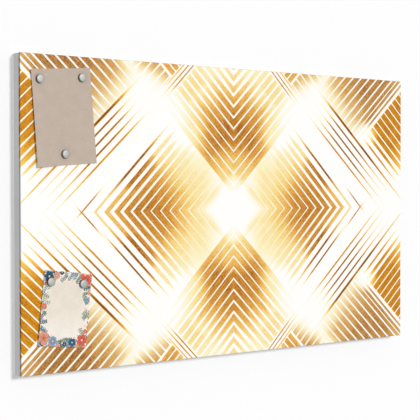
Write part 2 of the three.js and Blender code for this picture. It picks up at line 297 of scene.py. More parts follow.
@dataclass(frozen=True)
class Stripes:
    """One family of parallel stripes in a quadrant of the mirrored print, in millimetres.

    A stripe runs along z - lean * x and the family repeats across z + lean * x, where x and z
    are measured from the print's middle. The white gaps lie at `first` and every pitch from it,
    and half a gap grows from one width to the other. Each fade is where it starts and ends. The
    tone is palest, then deepest round a place given by centre and reach, across and along. At
    either end of a stripe, `ragged` is how far ends may differ and `taper` how much of the width
    closes. The bias makes the right and the upper halves darker and the others paler.
    """

    lean: float
    first: float
    pitch: float
    ink: Ink
    tone: Pair
    deepest: tuple[float, float, float, float]
    gap: Pair = (2.6, 2.6)
    gap_grows: Pair = (0.0, 1.0)
    across_in: Pair | None = None
    across_out: Pair | None = None
    along_in: Pair | None = None
    along_out: Pair | None = None
    ragged: Pair = (0.0, 0.0)
    taper: Pair = (0.8, 0.8)
    bias: Pair = (0.0, 0.0)

    def ink_tone(
        self, tree: NodeTree, x: NodeSocket, z: NodeSocket, halves: Sequence[NodeSocket], seed: int
    ) -> NodeSocket:
        """How much ink lies at a place.

        Args:
            tree: Node tree of the print.
            x: Distance from the print's upright middle line.
            z: Distance from its level middle line.
            halves: -1 on the left and 1 on the right, then -1 below and 1 above.
            seed: Number that sets this family's stripe ends and streaks.

        Returns:
            0 where the film is bare, 1 for the darkest tone.
        """
        edge, flat_share, tip_tone, tip_share = 0.7, 0.2, 0.3, 0.15
        seed_step, end_step = 50.0, 17.5
        streak_long, streak_thin, streak_span, streak_tones = 55.0, 2.0, (0.28, 0.72), (0.78, 1.22)
        across = add(tree, Step.TIMES_PLUS, x, self.lean, z)
        along = add(tree, Step.TIMES_PLUS, x, -self.lean, z)
        offset = add(tree, Step.MINUS, across, self.first)
        count = add(tree, Step.FLOOR, add(tree, Step.TIMES, offset, 1 / self.pitch))
        gap = add(tree, Step.EASE, across, *self.gap_grows, *self.gap)
        factors = [
            add(tree, Step.EASE, across, *fade, *way)
            for fade, way in ((self.across_in, RISE), (self.across_out, FALL)) if fade
        ]
        for end, (fade, way) in enumerate(((self.along_in, RISE), (self.along_out, FALL))):
            if fade:
                shift = self.ragged[end]
                number = add(tree, Step.PLUS, count, seed * seed_step + end * end_step)
                place = add(tree, Step.TIMES_PLUS, add(tree, Step.RANDOM, number), shift, along)
                whole = add(tree, Step.SPAN, place, fade[0] + shift / 2, fade[1] + shift / 2, *way)
                closed = self.taper[end] * self.pitch / 2
                gap = add(tree, Step.PLUS, gap, add(tree, Step.SPAN, whole, *RISE, closed, 0.0))
                factors.append(add(tree, Step.SPAN, whole, *RISE, tip_tone, 1.0))
                factors.append(add(tree, Step.SPAN, whole, 0.0, tip_share))
        in_stripe = add(tree, Step.MINUS, add(tree, Step.ZIGZAG, offset, self.pitch / 2), gap)
        factors.append(add(tree, Step.EASE, in_stripe, -edge, edge))
        depth = 1.0
        centre_across, reach_across, centre_along, reach_along = self.deepest
        for value, centre, reach in (
            (across, centre_across, reach_across), (along, centre_along, reach_along),
        ):
            away = add(tree, Step.SIZE_OF, add(tree, Step.MINUS, value, centre))
            hump = add(tree, Step.EASE, away, flat_share * reach, reach, *FALL)
            depth = add(tree, Step.TIMES, depth, hump)
        streak_place = add(
            tree, Step.AS_VECTOR, add(tree, Step.TIMES, along, 1 / streak_long),
            add(tree, Step.TIMES, across, 1 / streak_thin), float(seed),
        )
        streak = add(tree, Step.NOISE, streak_place, 1.0, 1.0)
        factors.append(add(tree, Step.SPAN, streak, *streak_span, *streak_tones))
        for half, bias in zip(halves, self.bias):
            if bias:
                factors.append(add(tree, Step.TIMES_PLUS, half, bias, 1.0))
        tone = add(tree, Step.SPAN, depth, *RISE, *self.tone)
        for factor in factors:
            tone = add(tree, Step.TIMES, tone, factor)
        return tone


@dataclass(frozen=True)
class Glow:
    """A soft bare spot of the print: centre, half width and half height in millimetres.

    It is an oval, or a diamond whose sides run as the stripes do.
    """

    x: float
    z: float
    half_width: float
    half_height: float
    strength: float
    diamond: bool = False
    core: float = 0.25

    def left_over(self, tree: NodeTree, x: NodeSocket, z: NodeSocket) -> NodeSocket:
        """The share of ink that the spot leaves.

        Args:
            tree: Node tree of the print.
            x: Distance from the print's upright middle line.
            z: Distance from its level middle line.

        Returns:
            1 beyond the spot, least in its core.
        """
        dx = add(tree, Step.TIMES, add(tree, Step.MINUS, x, self.x), 1 / self.half_width)
        dz = add(tree, Step.TIMES, add(tree, Step.MINUS, z, self.z), 1 / self.half_height)
        if self.diamond:
            away = add(tree, Step.PLUS, add(tree, Step.SIZE_OF, dx), add(tree, Step.SIZE_OF, dz))
        else:
            away = add(tree, Step.LENGTH, add(tree, Step.AS_VECTOR, dx, dz))
        return add(tree, Step.EASE, away, self.core, 1.0, 1 - self.strength, 1.0)


CHEVRONS = (
    # upright chevrons over and under the middle
    Stripes(-1, 28, 23.5, Ink.GOLD, (0.28, 0.77), (140, 165, 110, 255), gap=(1.9, 3.8),
            gap_grows=(120, 270), across_in=(26, 30), along_out=(262, 402), ragged=(0, 50),
            taper=(0.0, 0.5)),
    Stripes(-1, 28, 23.5, Ink.GOLD, (0.1, 0.24), (150, 100, 360, 60), gap=(3.4, 3.4),
            across_in=(56, 110), along_in=(300, 340), along_out=(391, 393), taper=(0.0, 0.0)),
    # sideways chevrons to their left and right, and the darker ends of the outer ones
    Stripes(1, 71, 23.0, Ink.GOLD, (0.19, 0.72), (218, 150, -235, 205), gap=(1.7, 5.4),
            gap_grows=(200, 330), across_in=(45, 95), across_out=(324, 326), along_out=(-30, 44),
            ragged=(0, 60)),
    Stripes(1, 71, 23.0, Ink.GOLD, (0.0, 0.8), (314, 62, -165, 115), gap=(1.7, 5.4),
            gap_grows=(200, 330), across_out=(324, 326)),
    # lone lines outside them
    Stripes(1, 327, 24.0, Ink.GOLD, (0.26, 0.92), (339, 60, -155, 135), gap=(8.6, 8.6),
            across_in=(327, 328), across_out=(350, 351), along_out=(-70, 50), taper=(0.0, 0.28)),
    Stripes(1, 351.5, 24.0, Ink.AMBER, (0.15, 0.56), (363, 60, -150, 125), gap=(9.6, 9.6),
            across_in=(352, 353), across_out=(375, 376), along_in=(-300, -220),
            along_out=(-80, 20), taper=(0.2, 0.2), bias=(0.0, -1.0)),
    # thin lines that cross on the middle line
    Stripes(1, 357, 24.0, Ink.GOLD, (0.08, 0.85), (369, 60, -352, 90), gap=(10.0, 10.0),
            across_in=(358, 359), across_out=(380, 381), along_out=(-330, -190),
            taper=(0.0, 0.12)),
    Stripes(-1, -381, 24.0, Ink.GOLD, (0.3, 0.62), (-369, 60, 369, 30), gap=(10.0, 10.0),
            across_in=(-380, -379), across_out=(-359, -358), along_in=(364, 368),
            along_out=(372, 410), taper=(0.0, 0.12)),
    # long thin lines and the heavy line beside them
    Stripes(0.93, 388.2, 21.1, Ink.AMBER, (0.46, 1.04), (450, 75, -165, 170), gap=(8.0, 8.0),
            across_in=(388.4, 388.8), across_out=(472, 473), along_in=(-430, -220),
            along_out=(-110, 30), ragged=(60, 50), taper=(0.2, 0.2), bias=(0.08, 0.0)),
    Stripes(0.93, 472.6, 21.3, Ink.AMBER, (0.66, 1.2), (483, 60, -165, 190), gap=(7.1, 7.1),
            across_in=(473, 474), across_out=(490, 491), along_in=(-470, -260),
            along_out=(-30, 70), taper=(0.24, 0.3), bias=(0.06, 0.0)),
    # rising stripes of the upper and lower edges, with a set of close lines
    Stripes(-0.93, -4.5, 23.2, Ink.UMBER, (0.3, 0.76), (-80, 190, 660, 170),
            across_in=(-144, -143.6), across_out=(10, 60), along_in=(478, 540), ragged=(26, 0),
            taper=(0.0, 0.0), bias=(-0.03, 0.0)),
    Stripes(-0.93, -189, 14.6, Ink.UMBER, (0.32, 0.7), (-160, 100, 640, 190), gap=(4.0, 1.2),
            gap_grows=(-184, -150), across_in=(-189.5, -188.5), across_out=(-145.5, -145),
            along_in=(490, 560), ragged=(16, 0), taper=(0.0, 0.0)),
    # falling stripes of the four corners
    Stripes(0.93, 497.4, 22.6, Ink.AMBER, (0.38, 0.73), (640, 260, -260, 190), gap=(8.2, 1.9),
            gap_grows=(505, 575), across_in=(497, 499), along_in=(-396, -300),
            along_out=(-198, -195), ragged=(16, 0), taper=(0.2, 0.0), bias=(0.03, 0.0)),
    # close lines beside the upright chevrons, and the two small blocks behind them
    Stripes(1, 394, 12.0, Ink.AMBER, (0.45, 0.8), (400, 26, 130, 120), gap=(4.2, 4.2),
            across_in=(394.4, 394.8), across_out=(429.4, 429.8), along_in=(30, 90),
            ragged=(30, 0), taper=(0.25, 0.0)),
    Stripes(-1, 113, 20.0, Ink.GOLD, (0.34, 0.56), (120, 60, 450, 60), gap=(2.2, 2.2),
            across_in=(113, 114), along_in=(428, 431)),
    Stripes(1, 434, 23.4, Ink.UMBER, (0.1, 0.66), (480, 130, 104, 80), gap=(2.4, 2.4),
            across_in=(426, 432), across_out=(540, 580), along_in=(20, 60), along_out=(106, 108),
            ragged=(30, 0), taper=(0.6, 0.0)),
)
GLOWS = (
    Glow(216, 236, 96, 84, 0.9), Glow(158, 196, 56, 46, 0.8), Glow(116, 158, 56, 62, 0.62),
    Glow(383, 165, 50, 38, 0.9), Glow(0, 0, 106, 92, 1.0, diamond=True), Glow(0, 80, 76, 78, 0.5),
    Glow(0, 46, 52, 50, 0.6, diamond=True), Glow(430, 8, 90, 26, 0.6),
)
# places where pale ink lies between the stripes too
HAZES = (Glow(100, 58, 90, 96, 0.13), Glow(236, 262, 110, 90, 0.05))


@dataclass(frozen=True)
class PrintedFilm(Grained):
    """Polyester film, printed and laid over the steel: satin, with a print of gold stripes on white.

    The print sits a few millimetres off the board's middle and a little askew. It thickens and
    thins in fine mottles and in clouds, each a size and the least and the most ink.
    """

    bare: str = "FFFEFC"
    # painted shade: a grey blended over the film where it wraps round the folds, deeper further back
    painted_wrap_shade: str = "B2B5B0"
    wrap_fade: Pair = (0.4, 1.6)
    half_width: float = 500.0
    half_height: float = 300.0
    fold: float = 0.5
    front: float = -30.4
    mottles: tuple[tuple[float, float, float], ...] = ((2.4, 0.76, 1.24), (24.0, 0.92, 1.08))
    mottle_span: Pair = (0.25, 0.75)
    seam: float = 0.001
    off_middle: Pair = (-1.8, 4.3)
    askew: float = 0.004
    coarse: Grain = (3.0, 3.0, 0.0)
    roughness: Pair = (0.42, 0.42)
    relief: Pair = (0.04, 0.05)
    specular: float = 0.12

    def ink_left(self, tree: NodeTree, place: NodeSocket, x: NodeSocket, z: NodeSocket) -> NodeSocket:
        """How much of the ink the bare spots and the mottles leave.

        Args:
            tree: Node tree of the print.
            place: Place on the film.
            x: Distance from the print's upright middle line.
            z: Distance from its level middle line.

        Returns:
            The factor that every ink's tone is multiplied by.
        """
        left = 1.0
        for glow in GLOWS:
            left = add(tree, Step.TIMES, glow.left_over(tree, x, z), left)
        for size, least, most in self.mottles:
            noise = add(tree, Step.NOISE, place, 1 / size)
            mottle = add(tree, Step.SPAN, noise, *self.mottle_span, least, most)
            left = add(tree, Step.TIMES, mottle, left)
        return left

    def tint(self, tree: NodeTree, grain: NodeSocket) -> NodeSocket:
        """Print the inks on the bare film, with painted shade where it wraps round the folds.

        Args:
            tree: Node tree of the print.
            grain: The film's unevenness, which its colour doesn't follow; not used.

        Returns:
            The film's colour.
        """
        place = in_mm(tree)
        depth = add(tree, Step.MINUS, add(tree, Step.Y_OF, place), self.front)
        lean_up = add(tree, Step.TIMES, add(tree, Step.X_OF, place), self.askew)
        from_middle, halves = [], []
        wrapped = 0.0
        for part, half, off in (
            (Step.X_OF, self.half_width, self.off_middle[0]),
            (Step.Z_OF, self.half_height, add(tree, Step.PLUS, lean_up, self.off_middle[1])),
        ):
            where = add(tree, part, place)
            away = add(tree, Step.SIZE_OF, where)
            side = add(tree, Step.ABOVE, away, half - self.fold)
            halves.append(add(tree, Step.SPAN, where, -self.seam, self.seam, -1.0, 1.0))
            unfolded = add(tree, Step.TIMES_PLUS, side, depth, away)
            moved = add(tree, Step.MINUS, unfolded, add(tree, Step.TIMES, halves[-1], off))
            from_middle.append(add(tree, Step.SIZE_OF, moved))
            wrapped = add(tree, Step.LARGER, side, wrapped)
        # painted shade on the wrapped film, fading in with depth behind the front
        shaded = add(tree, Step.TIMES, wrapped, add(tree, Step.EASE, depth, *self.wrap_fade))
        film = add(tree, Step.BLEND, shaded, linear(self.bare), linear(self.painted_wrap_shade))
        ink_left = self.ink_left(tree, place, *from_middle)
        haze = 0.0
        for spot in HAZES:
            spread = add(tree, Step.MINUS, 1.0, spot.left_over(tree, *from_middle))
            haze = add(tree, Step.LARGER, spread, haze)
        for ink in Ink:
            tone = haze if ink is Ink.GOLD else 0.0
            for seed, family in enumerate(CHEVRONS, 1):
                if family.ink is ink:
                    family_tone = family.ink_tone(tree, *from_middle, halves, seed)
                    tone = add(tree, Step.LARGER, family_tone, tone)
            dye = add(tree, Step.RAMP, add(tree, Step.TIMES, tone, ink_left), stops=ink.value)
            film = add(tree, Step.DYE, 1.0, film, dye)
        return film


@dataclass(frozen=True)
class PowderCoat(Grained):
    """Polyester powder baked on steel: a hard satin skin with a fine orange peel."""

    colour: str = "E2E3E6"
    tints: Stops = ((0.3, "DCDDE0"), (0.7, "E8E9EB"))
    drift: float = 90.0
    drift_detail: float = 3.0
    drift_share: float = 0.5
    coarse: Grain = (0.9, 2.0, 0.0)
    roughness: Pair = (0.46, 0.58)
    relief: Pair = (0.25, 0.06)
    specular: float = 0.3

    def tint(self, tree: NodeTree, grain: NodeSocket) -> NodeSocket:
        """Let the colour drift a little, whatever the peel does."""
        drift = add(tree, Step.NOISE, in_mm(tree), 1 / self.drift, self.drift_detail)
        return add(tree, Step.BLEND, self.drift_share, linear(self.colour), super().tint(tree, drift))


@dataclass(frozen=True)
class GalvanisedSteel(Grained):
    """Hot-dipped zinc on steel: bluish grey metal with the flat crystals of its spangle."""

    tints: Stops = ((0.1, "9FA4A9"), (0.5, "B1B5B9"), (0.9, "C5C9CC"))
    crystal: float = 5.0
    crystal_share: float = 0.7
    coarse: Grain = (4.0, 2.0, 0.0)
    fine: Grain = (0.6, 2.0, 0.0)
    span: Pair = (0.1, 0.9)
    roughness: Pair = (0.36, 0.52)
    metallic: float = 1.0

    def grains(self, tree: NodeTree) -> tuple[NodeSocket, NodeSocket]:
        """Add crystals of differing grey to the coarse grain, over fine drawing marks.

        Args:
            tree: Node tree of the material.

        Returns:
            What tint and gloss follow, then what the relief follows.
        """
        coarse, fine = super().grains(tree)
        crystal = add(tree, Step.X_OF, add(tree, Step.CELL_TINT, in_mm(tree), 1 / self.crystal))
        rest = add(tree, Step.TIMES, coarse, 1 - self.crystal_share)
        return add(tree, Step.TIMES_PLUS, crystal, self.crystal_share, rest), fine


@dataclass(frozen=True)
class RivetAluminium(Grained):
    """Drawn aluminium of a blind rivet: bright, soft metal with handling marks."""

    tints: Stops = ((0.3, "C3C5C8"), (0.7, "DADBDD"))
    coarse: Grain = (0.8, 4.0, 1.0)
    roughness: Pair = (0.24, 0.42)
    relief: Pair = (0.2, 0.03)
    metallic: float = 1.0


@dataclass(frozen=True)
class FoamTape(Grained):
    """Closed-cell acrylic foam: dull off-white, pricked all over with small cells.

    The cells are drawn somewhat larger than real so that they show.
    """

    tints: Stops = ((0.0, "BDBDB8"), (0.5, "E6E6E1"))
    cell: float = 0.7
    roughness: Pair = (0.85, 0.85)
    relief: Pair = (0.5, 0.2)

    def grains(self, tree: NodeTree) -> tuple[NodeSocket, NodeSocket]:
        """Add the cells, which tint and relief both follow."""
        return (add(tree, Step.CELLS, in_mm(tree), 1 / self.cell),) * 2


@dataclass(frozen=True)
class BlackRubber(Grained):
    """Moulded synthetic rubber: near-black and dull, with a dusty bloom and a fine mould texture."""

    tints: Stops = ((0.3, "1A1A1B"), (0.75, "2C2C2D"))
    coarse: Grain = (2.5, 4.0, 0.0)
    fine: Grain = (0.35, 1.0, 0.0)
    roughness: Pair = (0.6, 0.8)
    relief: Pair = (0.4, 0.08)


@dataclass(frozen=True)
class NickelPlate(Grained):
    """Satin nickel on a pressed steel cup: soft grey silver, with painted shade down the drawn wall.

    Its fine rings run round the cup's own middle and are drawn coarser than real so that they show.
    """

    tints: Stops = ((0.3, "979794"), (0.7, "A4A4A1"))
    # painted shade: dark grey blended over the cup's wall, beyond the face
    painted_wall_shade: str = "555451"
    ring: float = 0.35
    smear: float = 2.0
    smear_detail: float = 3.0
    face_radius: float = 7.6
    wall_radius: float = 8.1
    roughness: Pair = (0.50, 0.62)
    relief: Pair = (0.12, 0.03)
    metallic: float = 1.0

    def own_place(self, tree: NodeTree) -> NodeSocket:
        """Read the place round the cup's own middle, in millimetres."""
        own = add(tree, Step.OWN, attribute_name="from_middle")
        return add(tree, Step.V_TIMES, own, (1 / MM, 0.0, 1 / MM))

    def grains(self, tree: NodeTree) -> tuple[NodeSocket, NodeSocket]:
        """Add the rings, which gloss and relief both follow."""
        out = add(tree, Step.TIMES, add(tree, Step.LENGTH, self.own_place(tree)), 1 / self.ring)
        return (add(tree, Step.RINGS, out, 1.0),) * 2

    def tint(self, tree: NodeTree, grain: NodeSocket) -> NodeSocket:
        """Smear the face's grey and paint shade on the wall.

        Args:
            tree: Node tree of the material.
            grain: The rings, which the colour doesn't follow; not used.

        Returns:
            The plate's colour.
        """
        own = self.own_place(tree)
        smear = add(tree, Step.NOISE, own, 1 / self.smear, self.smear_detail)
        # painted shade darkens the drawn wall beyond the face's radius
        wall = add(tree, Step.EASE, add(tree, Step.LENGTH, own), self.face_radius, self.wall_radius)
        return add(tree, Step.BLEND, wall, super().tint(tree, smear), linear(self.painted_wall_shade))


@dataclass(frozen=True)
class MagnetAlloy(Grained):
    """Sintered magnet alloy under thin nickel: darker and duller than the cup, faintly pitted."""

    tints: Stops = ((0.3, "8C8C8A"), (0.6, "A9A9A6"))
    coarse: Grain = (0.5, 3.0, 0.0)
    roughness: Pair = (0.34, 0.5)
    relief: Pair = (0.3, 0.04)
    metallic: float = 1.0


@dataclass(frozen=True)
class CardStock(Grained):
    """Uncoated card: dull, with soft fibres and a paler cut edge and back."""

    front: str = "C8B8A9"
    stock: str = "D9CFC4"
    fibre: float = 1.6
    fibre_detail: float = 3.0
    fibre_stretch: float = 0.35
    fibre_shade: str = "F4F4F4"
    mottle: float = 22.0
    mottle_shade: str = "F8F7F6"
    roughness: Pair = (0.82, 0.82)
    relief: Pair = (0.3, 0.04)
    specular: float = 0.25

    def own_place(self, tree: NodeTree) -> NodeSocket:
        """Read the place on the flat card, in millimetres."""
        return add(tree, Step.OWN, attribute_name="card_place")

    def grains(self, tree: NodeTree) -> tuple[NodeSocket, NodeSocket]:
        """Add the fibres, stretched up the card, which colour and relief both follow."""
        stretched = add(tree, Step.V_TIMES, self.own_place(tree), (1.0, self.fibre_stretch, 1.0))
        return (add(tree, Step.NOISE, stretched, 1 / self.fibre, self.fibre_detail),) * 2

    def printed(self, tree: NodeTree, own: NodeSocket) -> NodeSocket | tuple:
        """The front's colour before the fibres show in it."""
        return linear(self.front)

    def tint(self, tree: NodeTree, grain: NodeSocket) -> NodeSocket:
        """Colour the front and the plain back, and let fibres and mottles show in both.

        Args:
            tree: Node tree of the material.
            grain: The fibres.

        Returns:
            The card's colour.
        """
        own = self.own_place(tree)
        facing = add(tree, Step.OWN_NUMBER, attribute_name="card_front")
        mottle = add(tree, Step.NOISE, own, 1 / self.mottle)
        colour = add(tree, Step.BLEND, facing, linear(self.stock), self.printed(tree, own))
        for noise, darkest in ((grain, self.fibre_shade), (mottle, self.mottle_shade)):
            shade = add(tree, Step.RAMP, noise, stops=((0.3, darkest), (0.7, "FFFFFF")))
            colour = add(tree, Step.DYE, 1.0, colour, shade)
        return colour


@dataclass(frozen=True)
class Scatter:
    """Motifs strewn one to a cell of an uneven grid, in millimetres."""

    cell: float
    shift: Pair
    unevenness: float
    from_border: float
    inks: Stops

    def motif(self, tree: NodeTree, own: NodeSocket, card: "FloralCardStock") -> tuple[NodeSocket, ...]:
        """Set up one cell's own place, chance and ink.

        Args:
            tree: Node tree of the card.
            own: Place on the card.
            card: Card that says where its border is.

        Returns:
            The place from the motif's centre, a number from 0 to 1, its ink and its presence.
        """
        moved = add(tree, Step.V_MINUS, own, (*self.shift, 0.0))
        scaled = add(tree, Step.V_TIMES, moved, (1 / self.cell,) * 3)
        home, tint = (
            add(tree, step, scaled, 1.0, self.unevenness, voronoi_dimensions="2D")
            for step in (Step.CELL_HOME, Step.CELL_TINT)
        )
        away = add(tree, Step.V_MINUS, scaled, home)
        local = add(tree, Step.V_TIMES, away, (self.cell, self.cell, 0.0))
        home = add(tree, Step.V_TIMES, home, (self.cell,) * 3)
        centre = add(tree, Step.V_MINUS, home, (-self.shift[0], -self.shift[1], 0.0))
        ink = add(tree, Step.RAMP, add(tree, Step.Y_OF, tint), stops=self.inks)
        ink.node.color_ramp.interpolation = "CONSTANT"
        shown = add(tree, Step.ABOVE, card.closeness(tree, centre), self.from_border)
        return local, add(tree, Step.X_OF, tint), ink, shown


@dataclass(frozen=True)
class Bloom:
    """A round flower printed at a chosen place on the card, in millimetres."""

    x: float
    y: float
    radius: float
    petals: int
    turn: float
    tint: str
    heart: str


@dataclass(frozen=True)
class FloralCardStock(CardStock):
    """Card with a border of leafy sprigs, berries and round flowers, its middle left bare.

    Each layer of sprigs has a cell, a shift, half a stem's length and a leaf's length.
    """

    half_width: float = 52.0
    half_height: float = 70.0
    squareness: float = 3.2
    bare: str = "F3E9DA"
    greens: Stops = ((0.0, "7F9A84"), (0.3, "3F6660"), (0.55, "A3B59A"), (0.8, "6F97B4"))
    petals: Stops = ((0.0, "E8806E"), (0.35, "F0AE92"), (0.6, "84A9CC"), (0.8, "2B5E7A"))
    berries: Stops = ((0.0, "E07560"), (0.5, "D2893C"), (0.8, "4F82A4"))
    petal_shades: Stops = ((0.12, "C2B0AC"), (0.5, "F0E8E4"), (0.8, "FFFFFF"))
    sprigs: tuple = ((17.0, (3, 5), 8.0, 5.2), (15.0, (9, 1), 6.8, 4.4), (16.0, (5, 11), 7.2, 4.8))
    blooms: tuple[Bloom, ...] = (
        Bloom(38, 57, 12.5, 5, 0.4, "E2695C", "F2C98E"),
        Bloom(-41, 60, 10.5, 6, 0.1, "2E5F80", "E8D6A8"),
        Bloom(-25, 63, 7.0, 5, 1.0, "EFA88C", "F6DDA8"),
        Bloom(-42, -56, 12.5, 5, 0.9, "EDA184", "C96A4C"),
        Bloom(-22, -61, 9.5, 6, 0.5, "86ABD0", "F0DCA8"),
        Bloom(41, -57, 12.0, 5, 0.2, "DF6A60", "F4D09A"),
        Bloom(20, -62, 8.5, 5, 0.7, "33688A", "EFD8A0"),
        Bloom(46, 18, 6.0, 6, 0.3, "7FA6CB", "F0DCA8"),
        Bloom(-46, 4, 6.0, 5, 0.8, "E88472", "F4D09A"),
    )

    def closeness(self, tree: NodeTree, place: NodeSocket) -> NodeSocket:
        """How close a place is to the card's edge.

        Args:
            tree: Node tree of the card.
            place: Place on the card.

        Returns:
            1 on the edge, more at the corners, 0 in the middle.
        """
        parts = []
        for part, half in ((Step.X_OF, self.half_width), (Step.Y_OF, self.half_height)):
            share = add(tree, Step.TIMES, add(tree, Step.SIZE_OF, add(tree, part, place)), 1 / half)
            parts.append(add(tree, Step.POWER, share, self.squareness))
        return add(tree, Step.PLUS, *parts)

    def sprig(
        self, tree: NodeTree, local: NodeSocket, chance: NodeSocket, long: float, leaf: float
    ) -> NodeSocket:
        """A stem with pairs of pointed leaves, turned by chance.

        Args:
            tree: Node tree of the card.
            local: Place from the sprig's middle.
            chance: Number from 0 to 1 that turns it.
            long: Half the stem's length.
            leaf: Length of one leaf.

        Returns:
            1 on the sprig, 0 beside it.
        """
        slant, spacing, foot, fullness = math.radians(48), 0.78 * leaf, 0.12, 0.92 * leaf
        blur, stem_edge = 0.16, (0.2, 0.5)
        turned = add(tree, Step.TURN, local, add(tree, Step.TIMES, chance, 4 * math.pi))
        u = add(tree, Step.X_OF, turned)
        v = add(tree, Step.SIZE_OF, add(tree, Step.Y_OF, turned))
        step = add(tree, Step.MINUS, add(tree, Step.WRAPPED, u, spacing, 0.0), foot * spacing)
        out, off = (
            add(tree, Step.TIMES_PLUS, step, along, add(tree, Step.TIMES, v, aside))
            for along, aside in ((math.cos(slant), math.sin(slant)), (-math.sin(slant), math.cos(slant)))
        )
        share = add(tree, Step.SPAN, out, 0.0, leaf)
        bulge = add(tree, Step.TIMES, share, add(tree, Step.MINUS, 1.0, share))
        side = add(tree, Step.TIMES_PLUS, bulge, -fullness, add(tree, Step.SIZE_OF, off))
        blade = add(tree, Step.EASE, side, -blur, blur, *FALL)
        stem = add(tree, Step.EASE, v, *stem_edge, *FALL)
        inside = add(tree, Step.EASE, add(tree, Step.SIZE_OF, u), long - blur, long + blur, *FALL)
        return add(tree, Step.TIMES, add(tree, Step.LARGER, blade, stem), inside)

    def flower(
        self, tree: NodeTree, under: NodeSocket, local: NodeSocket, radius: float, petals: int,
        turn: Feed, tint: Feed, heart: str, shown: Feed = 1.0,
    ) -> NodeSocket:
        """Lay a round flower over what is there.

        Args:
            tree: Node tree of the card.
            under: Colour so far.
            local: Place from its middle.
            radius: How far its petals reach.
            petals: How many it has.
            turn: Angle that turns it.
            tint: Colour of its petals.
            heart: Hex colour of its heart.
            shown: Whether it is there.

        Returns:
            The colour with the flower.
        """
        full_lobe, notch, blur, vein, heart_edge = 0.7, 0.66, 0.2, 0.35, (0.17, 0.22)
        bearing = add(tree, Step.BEARING, add(tree, Step.Y_OF, local), add(tree, Step.X_OF, local))
        swing = add(tree, Step.TIMES_PLUS, bearing, petals / 2, turn)
        out = add(tree, Step.LENGTH, local)
        lobe = add(tree, Step.SIZE_OF, add(tree, Step.COSINE, swing))
        outline = add(tree, Step.SPAN, lobe, 0.0, full_lobe, radius * notch, radius)
        cover = add(tree, Step.EASE, add(tree, Step.MINUS, out, outline), -blur, blur, *FALL)
        veined = add(tree, Step.TIMES_PLUS, lobe, vein, add(tree, Step.TIMES, out, (1 - vein) / radius))
        shade = add(tree, Step.RAMP, veined, stops=self.petal_shades)
        core = add(tree, Step.EASE, out, *(radius * share for share in heart_edge), *FALL)
        flower = add(tree, Step.BLEND, core, add(tree, Step.DYE, 1.0, tint, shade), linear(heart))
        return add(tree, Step.BLEND, add(tree, Step.TIMES, cover, shown), under, flower)

    def printed(self, tree: NodeTree, own: NodeSocket) -> NodeSocket:
        """Lay sprigs, then berries, then flowers over the cream card.

        Args:
            tree: Node tree of the card.
            own: Place on the card.

        Returns:
            The front's colour before the fibres show in it.
        """
        border_fade, low_fade, berry_edge, berry_chance = (0.15, 0.8), (-48.0, 4.0), (0.85, 1.15), 0.35
        most_turn, small_flower, small_heart = 6.0, 5.0, "F3D9A4"
        lower = add(tree, Step.EASE, add(tree, Step.Y_OF, own), *low_fade, *FALL)
        near = add(tree, Step.EASE, self.closeness(tree, own), *border_fade)
        near = add(tree, Step.LARGER, near, lower)
        colour = add(tree, Step.BLEND, near, linear(self.bare), linear(self.front))
        for cell, shift, long, leaf in self.sprigs:
            layer = Scatter(cell, shift, unevenness=0.4, from_border=0.48, inks=self.greens)
            local, chance, ink, shown = layer.motif(tree, own, self)
            cover = add(tree, Step.TIMES, self.sprig(tree, local, chance, long, leaf), shown)
            colour = add(tree, Step.BLEND, cover, colour, ink)
        layer = Scatter(cell=6.5, shift=(1, 2), unevenness=0.9, from_border=0.44, inks=self.berries)
        local, chance, ink, shown = layer.motif(tree, own, self)
        dot = add(tree, Step.EASE, add(tree, Step.LENGTH, local), *berry_edge, *FALL)
        few = add(tree, Step.ABOVE, chance, berry_chance)
        cover = add(tree, Step.TIMES, add(tree, Step.TIMES, dot, shown), few)
        colour = add(tree, Step.BLEND, cover, colour, ink)
        layer = Scatter(cell=15.0, shift=(0, 4), unevenness=0.35, from_border=0.8, inks=self.petals)
        local, chance, ink, shown = layer.motif(tree, own, self)
        turn = add(tree, Step.TIMES, chance, most_turn)
        colour = self.flower(tree, colour, local, small_flower, 5, turn, ink, small_heart, shown)
        for bloom in self.blooms:
            local = add(tree, Step.V_MINUS, own, (bloom.x, bloom.y, 0.0))
            colour = self.flower(tree, colour, local, bloom.radius, bloom.petals, bloom.turn,
                                 linear(bloom.tint), bloom.heart)
        return colour


# work on a mesh


class Pick(Enum):
    """What is selected in edit mode."""

    EDGES = "EDGE"
    FACES = "FACE"


def only(piece: Object) -> None:
    """Leave edit mode and make one piece the only one that is selected and worked on.

    Args:
        piece: The piece.
    """
    if bpy.context.mode != "OBJECT":
        bpy.ops.object.mode_set(mode="OBJECT")
    bpy.ops.object.select_all(action="DESELECT")
    piece.select_set(True)
    bpy.context.view_layer.objects.active = piece


def extrude(along: float) -> None:
    """Extrude what is selected along the Y axis."""
    bpy.ops.mesh.extrude_region_move(TRANSFORM_OT_translate={"value": (0, along, 0)})


def middle(node: str) -> Vector:
    """Middle of a CAD node's box."""
    low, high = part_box(node)
    return (low + high) / 2


